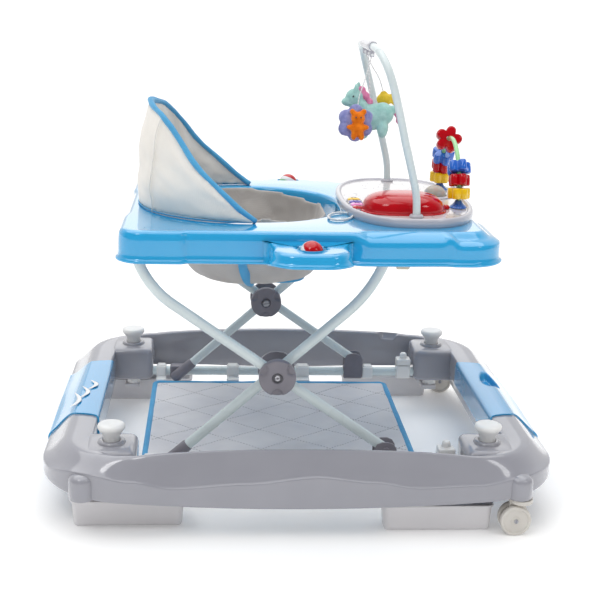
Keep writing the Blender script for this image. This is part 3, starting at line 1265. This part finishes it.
def slingShape():
    rows = []
    steps = 140
    for k in range(40):
        t = k / 39
        depth = -2 + 100 * math.sin(math.pi / 2 * min(t * 1.25, 1)) if t < 0.8 else 98
        fade = 1 if t < 0.8 else 1 - (t - 0.8) / 0.2
        base = 0.9 - 0.26 * (min(t, 0.8) / 0.8) ** 1.7
        row = []
        for j in range(steps):
            a = math.tau * (j + 0.5) / steps
            r = (tray["seatR"] - 2.5) * base * max(fade, 0.02)
            straight = tray["seatStraight"] * (1 if a < math.pi else -1) * base * max(fade, 0.02)
            x = tray["seatX"] * (1 - 0.12 * min(t, 0.8) / 0.8) - 4 + r * math.cos(a)
            y = straight + r * math.sin(a)
            fold = 5.0 * noise.noise(Vector((math.cos(a) * 1.7, math.sin(a) * 1.7,
                    depth / 55))) + 1.3 * noise.noise(Vector((math.cos(a) * 4, math.sin(a) * 4, depth / 40)))
            seam = -2.2 * math.exp(-((a % (math.tau / 6) - math.tau / 12) / 0.035) ** 2) * (1 if t < 0.8 else 0)
            out = 1 + (fold + seam) / 125
            row.append((tray["seatX"] + (x - tray["seatX"]) * out, y * out,
                    tray["top"] - 1 - depth - 9 * ease(x, -70, 50) * max(0, 1 - t * 3) + 2.5 * max(0,
                    1 - t * 5) * noise.noise(Vector((x / 30, y / 30, 1.0)))))
        rows.append(row)
    return grid(rows, wrap=True, capEnd=True)


def cutLegs(obj):
    # two leg holes through the floor of the sling
    for side in (-1, 1):
        cutter = bpy.data.meshes.new("cutter")
        points, faces = shifted(lathe([(0, 270), (33, 270), (33, 345), (0, 345)], 48), -24, side * 44, 0)
        cutter.from_pydata([[c / 1000 for c in p] for p in points], [], faces)
        tool = bpy.data.objects.new("cutter", cutter)
        bpy.context.scene.collection.objects.link(tool)
        mod = obj.modifiers.new("legs", "BOOLEAN")
        mod.operation, mod.object, mod.solver = "DIFFERENCE", tool, "EXACT"
        apply(obj)
        bpy.data.objects.remove(tool)


def padPiece(name, shape, material, body, node, thickness, cap, pin, legs=False):
    mesh = bpy.data.meshes.new(name)
    mesh.from_pydata([[c / 1000 for c in p] for p in shape[0]], [], shape[1])
    obj = bpy.data.objects.new(name, mesh)
    bpy.context.scene.collection.objects.link(obj)
    bm = bmesh.new()
    bm.from_mesh(mesh)
    bmesh.ops.remove_doubles(bm, verts=bm.verts, dist=2e-5)
    bmesh.ops.recalc_face_normals(bm, faces=bm.faces)
    bm.to_mesh(mesh)
    bm.free()
    mod = obj.modifiers.new("thick", "SOLIDIFY")
    mod.thickness, mod.offset = thickness / 1000, 0
    apply(obj)
    if legs:
        cutLegs(obj)
    inflate(obj, cap, pin)
    mod = obj.modifiers.new("even", "SMOOTH")
    mod.factor, mod.iterations = 0.5, 7
    apply(obj)
    obj.data.shade_smooth()
    obj.data.materials.clear()
    obj.data.materials.append(material)
    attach(obj, body)
    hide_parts(node)
    return obj


padPiece("seatSling", slingShape(), padCloth, "tray", "seat_sling", 4.5, soft["capSling"],
        lambda p: p.z > 376, True)
legRings = [tube([(-24 + 33.5 * math.cos(math.tau * k / 40), s * 44 + 33.5 * math.sin(math.tau * k / 40),
        289.6) for k in range(40)], 2.2, 12, close=True) for s in (-1, 1)]
piece("legHoleBinding", merge(*legRings), bindingCloth, "tray", sharp=0)
strap = []
for s in (-1, 1):
    path = smoothPath([(-84, s * 138, 384), (-83, s * 134, 352), (-80, s * 126, 322), (-72, s * 108, 300),
            (-62, s * 84, 290)], 6)
    strap.append(tube(path, 8, 12, flat=0.16))
print("sling made")

hood = {"centre": -75, "radius": 150, "top": 532, "front": -64, "base": 389}


hoodLine = [(-226, 533), (-205, 522), (-188, 507), (-172, 489), (-156, 469), (-140, 453), (-120, 436), (-104, 422),
        (-86, 406), (-64, 390)]


def hoodEdge(x):
    # height of the hood's sloping side edge at a place along the seat, as an S
    for (x0, z0), (x1, z1) in zip(hoodLine, hoodLine[1:]):
        if x <= x1:
            return z0 + (z1 - z0) * max(x - x0, 0) / (x1 - x0)
    return hoodLine[-1][1]


def hoodPlan(u):
    # u from 0 at the near front corner, round the rear, to 1 at the far front corner
    flat = 11
    length = 2 * flat + math.pi * hood["radius"]
    s = u * length
    if s < flat:
        return hood["front"] - s, -hood["radius"], 0
    if s > length - flat:
        return hood["front"] - (length - s), hood["radius"], 0
    a = (s - flat) / hood["radius"]
    return hood["centre"] - hood["radius"] * math.sin(a), -hood["radius"] * math.cos(a), math.sin(a)


def hoodPoint(u, v, lift=0):
    x, y, back = hoodPlan(u)
    top = hoodEdge(x)
    z = hood["base"] + (top - hood["base"]) * v
    lean = 1 - 0.10 * back * max(v, 0) ** 1.4
    billow = 5.5 * math.sin(math.pi * min(max(v, 0), 1)) * (0.3 + 0.7 * back)
    crease = 4.0 * noise.noise(Vector((u * 3.6 + v * 1.6, v * 2.4 - u * 2.2,
            4.0))) + 2.4 * noise.noise(Vector((u * 9 + v * 3, v * 4 - u * 5,
            9.0))) + 3.0 * (1.1 - v) * noise.noise(Vector((u * 13 - v * 7, u * 1.5 + v * 2.5, 3.0)))
    grow = (billow + crease * min(1, v * 4) + lift) / hood["radius"]
    return (hood["centre"] + (x - hood["centre"]) * (lean + grow), y * (1 - 0.04 * v * back + grow), z)


hoodRows = [[hoodPoint(j / 150, k / 46) for j in range(151)] for k in range(47)]
padPiece("seatHood", grid(hoodRows), hoodCloth, "tray", "seat_back", 6, soft["capHood"],
        lambda p: p.z < 395)
edge = [hoodPoint(j / 120, 1.0) for j in range(121)]
piece("hoodPiping", tube(edge, [5.2 + 0.7 * math.sin(j * 0.32) * math.sin(j * 0.11) for j in range(121)], 16,
        flat=0.75), bindingCloth, "tray", sharp=0)
seam = [tube([hoodPoint(u, k / 24, 6.4) for k in range(25)], 0.9, 8) for u in (0.32, 0.68)]
piece("hoodSeams", merge(*seam), hoodCloth, "tray", sharp=0)
hem = [(hood["centre"] + (hoodPlan(j / 80)[0] - hood["centre"]) * 1.02, hoodPlan(j / 80)[1] * 1.02,
        389.6) for j in range(81)]
piece("hoodHem", tube(hem, 1.1, 10), bindingCloth, "tray", sharp=0)
piece("slingStraps", merge(*strap), bindingCloth, "tray", sharp=0)
print("hood made")

# ---- toy panel ----
panel = {"x": 155, "long": 95, "wide": 172, "power": 2.6, "top": 399}


def ovalLoop(a, b, n, count=160):
    out = []
    for i in range(count):
        t = math.tau * i / count
        c, s = math.cos(t), math.sin(t)
        out.append((panel["x"] + a * math.copysign(abs(c) ** (2 / n), c), b * math.copysign(abs(s) ** (2 / n), s)))
    return out


def oval(inset):
    return ovalLoop(panel["long"] - inset, panel["wide"] - inset, panel["power"])


rimRows = [[(x, y, z) for x, y in oval(i)] for i, z in
           ((1.6, 388), (0.6, 390), (0.2, 394), (0.4, 397), (1.2, 399), (2.6, 400.2), (4.4, 400.6), (6.2, 400.2),
           (7.6, 399.2), (8.2, 398.0), (9.0, 397.6))]
piece("panelRim", grid(rimRows, wrap=True), panelRim, "tray", sharp=60)


def keyPlace(i):
    return 81, -28 - 21 * i


def panelFace():
    rows = [[(x, y, z) for x, y in oval(i)] for i,
            z in ((9.0, 397.6), (10.5, 397.7), (16, 398.1), (26, 398.6), (40, 398.9), (56, 399), (76, 399),
            (90, 399))]
    return grid(rows, wrap=True, capEnd=True)


piece("panelFace", panelFace(), panelPrint, "tray", ("panel_shell",), sharp=0)
keyColours = {"one": yellowGloss, "two": purpleGloss, "three": pinkGloss, "four": redGloss}
for i, (name, material) in enumerate(keyColours.items()):
    x, y = keyPlace(i)
    cap = cushionBlock(roundedLoop(x - 9.2, x + 9.2, y - 8.2, y + 8.2, 5, 8, 4),
                       [(0, 395.6), (0, 399.4), (0.4, 400.8), (1.4, 402), (3, 402.6), (5, 402.9), (7, 403)])
    piece("key" + name.title(), cap, material, "key_" + name, ("key_" + name,), sharp=60)
frames = [tube([(x, y, 399.2) for x, y in roundedLoop(keyPlace(i)[0] - 10.2, keyPlace(i)[0] + 10.2,
        keyPlace(i)[1] - 9.2, keyPlace(i)[1] + 9.2, 5.5, 6, 3)], 0.9, 8, close=True) for i in range(4)]
piece("keySurrounds", merge(*frames), panelRim, "tray", sharp=0)

dome = {"x": 142, "y": -97, "long": 56, "wide": 42, "high": 25}


def redDome():
    rows = []
    steps = 96
    for k in range(25):
        t = k / 24
        lift = math.sin(math.pi / 2 * t)
        share = max(math.cos(math.pi / 2 * t), 0) ** 0.62
        row = []
        for j in range(steps):
            a = math.tau * j / steps
            n = 2.5
            c, s = math.cos(a), math.sin(a)
            rx = dome["long"] * math.copysign(abs(c) ** (2 / n), c) * share
            ry = dome["wide"] * math.copysign(abs(s) ** (2 / n), s) * share
            ridge = 1 + 0.02 * math.cos(2 * a)
            row.append((dome["x"] + rx * ridge, dome["y"] + ry, 399.4 + dome["high"] * lift ** 0.8))
        rows.append(row)
    skirt = [[(dome["x"] + (x - dome["x"]) * g, dome["y"] + (y - dome["y"]) * g, z2) for x, y, z in rows[0]] for g,
            z2 in ((1.045, 398.4), (1.045, 399.6), (1.03, 400.4), (1.0, 400.6))]
    return grid(skirt + rows[1:], wrap=True, capEnd=True)


nubs = [ball(6.2, (197, -90, 402), (1, 1, 0.9)), ball(4.6, (205, -87, 401), (1, 1, 0.9)),
        ball(4.2, (198, -80, 401.5), (1, 1, 0.8))]
piece("redDome", merge(redDome(), *nubs), redGloss, "tray", ("panel_domes",), sharp=60)
piece("domePad", shifted(lathe([(0, 398.4), (24, 398.4), (24.6, 399.8), (22, 401), (17.5, 401.2), (17, 400),
        (0, 400)], 56), 206, 14, 0), panelRim, "tray")
piece("clearDome", shifted(lathe([(17 * math.cos(math.pi / 2 * k / 14),
        400 + 16 * math.sin(math.pi / 2 * k / 14)) for k in range(15)], 56), 206, 14, 0), clearDome, "tray",
        sharp=0)
beadsInside = [ball(2.6, (206 + 10 * math.cos(k * 1.3), 14 + 10 * math.sin(k * 1.3), 403)) for k in range(5)]
piece("domeBeadsRed", merge(*beadsInside[:2]), redGloss, "tray", sharp=0)
piece("domeBeadsBlue", merge(*beadsInside[2:]), blueGloss, "tray", sharp=0)
print("panel made")

# ---- bead arch ----
beadArch = {"x": 224, "z": 413, "r": 74, "tube": 6.4}
archPath = [(224, -74, 399)] + [(224, -74 * math.cos(math.pi * k / 60),
        413 + 74 * math.sin(math.pi * k / 60)) for k in range(61)] + [(224, 74, 399)]
piece("beadArch", tube(archPath, 3.2, 22), greenGloss, "tray", ("bead_tube",), sharp=60)
foot = lathe([(0, 399), (12, 399), (12.4, 400), (11, 401.6), (8, 404), (5.6, 407), (4.6, 409.4), (3.4, 410),
        (0, 410)], 40)
piece("beadArchFeet", bothSides(shifted(foot, 224, 74, 0)), blueGloss, "tray", sharp=50)
beadList = {
    "near_yellow": (5, 6, 9, 4.5, yellowGloss, "yellow_plastic"),
    "near_red": (19, 5, 8.6, 4.4, redGloss, "red_plastic"),
    "near_blue": (33, 5, 10.5, 4.2, blueGloss, "deep_blue_plastic"),
    "far_yellow": (175, 6, 9, 4.5, yellowGloss, "yellow_plastic"),
    "far_red": (161, 5, 8.6, 4.4, redGloss, "red_plastic"),
    "far_blue": (147, 5, 10.5, 4.2, blueGloss, "deep_blue_plastic"),
    "top_red": (112, 5, 11.3, 5.5, redGloss, "red_plastic"),
}
for name, (angle, lobes, reach, lobeSize, material, slot) in beadList.items():
    t = math.radians(angle)
    centre = (beadArch["x"], -beadArch["r"] * math.cos(t), beadArch["z"] + beadArch["r"] * math.sin(t))
    turn = Matrix.Translation(centre) @ Matrix.Rotation(-t, 4, "X")
    shape = place(stars(lobes, reach * 1.12, lobeSize * 1.3, 15.4, 3.9), turn)
    piece("bead" + "".join(w.title() for w in name.split("_")), shape, material, "bead_" + name,
            ("bead_" + name,), sharp=60)
print("bead arch made")

# ---- toy arch ----
lean = [(153, 147, 390), (153, 147, 402), (151, 147, 430), (142, 147, 467), (133, 147, 500), (124, 147, 536),
        (114, 147, 572),
        (107, 138, 594), (101, 117, 609), (98, 89, 616), (97, 40, 618)]
line = smoothPath(lean + [(97, 0, 618)] + [(x, -y, z) for x, y, z in reversed(lean)], 5)
piece("toyArch", tube(line, 5.25, 28), paintedTube, "arch", ("arch_tube",), sharp=60)
sleeve = [tube([(97, -50 + 100 * k / 20, 618) for k in range(21)],
        [6.4 + 1.2 * math.sin(math.pi * min(k, 20 - k, 2) / 4) for k in range(21)], 30)]
eyes = []
for y in (-40, 0, 40):
    for s in (-1, 1):
        eyes.append(block((94, 100), (y + 3 * s - 1, y + 3 * s + 1), (603, 613), 0.8))
pins = {name: alongY(lathe([(0, -4.6), (2, -4.6), (2, -4), (1.4, -4), (1.4, 4), (2, 4), (2, 4.6), (0, 4.6)], 16), 97,
        y, 606, 1) for name, y in (("toy_flower", -40), ("toy_pony", 0), ("toy_fish", 40))}
piece("archSleeve", merge(*sleeve), panelRim, "arch", ("arch_clip",), sharp=50)
piece("archEyelets", merge(*eyes), panelRim, "arch", sharp=40)
for name, pin in pins.items():
    piece("pin" + name[4:].title(), pin, whiteGloss, name, sharp=40)
socket = lathe([(0, 398.6), (9.6, 398.6), (9.8, 400.4), (8.4, 402.4), (6.6, 403), (5.4, 403), (0, 402.4)], 36)
piece("archSockets", bothSides(shifted(socket, 153, 147, 0)), panelRim, "tray")

# ---- hanging toys ----


def stuffed(name, blobs, material, body, replaced=(), voxel=0.0016, rounds=8, size=1.0, middle=(101, 0, 518)):
    # balls joined to one skin, smoothed like stuffed fabric
    blobs = [(r * size, tuple(m + (c - m) * size for c, m in zip(p, middle)), scale) for r, p, scale in blobs]
    obj = piece(name, merge(*[ball(r, c, s, 12) for r, c, s in blobs]), material, body, sharp=0)
    mod = obj.modifiers.new("even", "REMESH")
    mod.mode, mod.voxel_size = "VOXEL", voxel
    apply(obj)
    mod = obj.modifiers.new("even", "SMOOTH")
    mod.factor, mod.iterations = 0.6, rounds
    apply(obj)
    sculpt(obj, lambda p: p + 0.35 * noise.noise_vector(p / 5))
    obj.data.shade_smooth()
    obj.data.materials.clear()
    obj.data.materials.append(material)
    if replaced:
        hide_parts(*replaced)
    return obj


same = (1, 1, 1)
pony = stuffed("ponyBody", [(15, (99, 0, 518), (1.1, 0.8, 0.95)), (12, (112, 0, 521), (1.0, 0.85, 1.0)),
        (9.5, (88, -1, 528), same), (8.6, (83, -2, 537), (1.1, 0.9, 1.1)),
                            (6, (77, -3, 533), (1.3, 0.8, 0.8)), (6, (93, -8, 505), (0.9, 0.9, 1.5)),
                            (6, (90, 8, 506), (0.9, 0.9, 1.4)), (6, (112, -7, 506), (0.9, 0.9, 1.5)),
                            (6, (115, 8, 507), (0.9, 0.9, 1.4)), (4, (87, 3, 547), (0.7, 0.6, 1.5)),
                            (4, (84, -7, 546), (0.7, 0.6, 1.5)), (4.5, (123, 0, 526), (1.5, 0.8, 0.9))],
               mintPlush, "toy_pony", ("toy_pony",), size=1.42, middle=(92, 0, 523))
mane = stuffed("ponyMane", [(4.2, (90, -2, 545), same), (4.6, (94, -2, 539), same), (4.4, (98, -1, 533), same),
        (3.6, (127, 1, 523), (1, 0.8, 1.5)), (3.2, (129, 1, 515), (0.9, 0.8, 1.4))],
               pinkPlush, "toy_pony", voxel=0.0015, size=1.42, middle=(92, 0, 523))
petals = [(8.4, (78 + 12.5 * math.sin(math.tau * k / 6), -40, 512 + 12.5 * math.cos(math.tau * k / 6)),
        (1, 0.62, 1)) for k in range(6)]
flower = stuffed("flowerPetals", petals + [(10, (78, -40, 512), (1, 0.6, 1))], purplePlush, "toy_flower",
        ("toy_flower",), size=1.28, middle=(79, -40, 514))
bear = stuffed("flowerFigure", [(7.6, (78, -46, 518), (1, 0.8, 0.95)), (7.4, (78, -46, 507), (1, 0.8, 1.1)),
        (3.1, (72, -46, 525), same), (3.1, (84, -46, 525), same),
                                (3.4, (71, -48, 509), (1.5, 0.9, 0.9)), (3.4, (85, -48, 509), (1.5, 0.9, 0.9)),
                                (3.6, (74, -48, 500), (0.9, 1, 1.3)), (3.6, (82, -48, 500), (0.9, 1, 1.3))],
               orangePlush, "toy_flower", voxel=0.0014, rounds=5, size=1.35, middle=(72, -42, 516))
fish = stuffed("fishBody", [(11, (128, 40, 537), (1.05, 0.7, 0.9)), (6.5, (139, 40, 539), (1, 0.6, 1.1)),
        (4.5, (143, 40, 545), (0.8, 0.5, 1.1)), (4.5, (143, 40, 533), (0.8, 0.5, 1.1)),
        (4, (127, 40, 547), (1.4, 0.5, 0.8))],
               yellowPlush, "toy_fish", ("toy_fish",), voxel=0.0013)
dots = [ball(1.1, (76.6, -55.6, 520.8)), ball(1.1, (83.6, -55.6, 520.8)), ball(1.3, (76.4, -13.4, 545.7)),
        ball(1.3, (77.1, 7.1, 545.7))]
piece("toyEyesFlower", merge(*dots[:2]), darkGloss, "toy_flower", sharp=0)
piece("toyEyesPony", merge(*dots[2:]), darkGloss, "toy_pony", sharp=0)
makeCord("pony", "toy_pony", "string_pony")
makeCord("flower", "toy_flower", "string_flower")
makeCord("fish", "toy_fish", "string_fish")
makeCord("loop", "tray", "pull_loop")
print("toys and cords made")
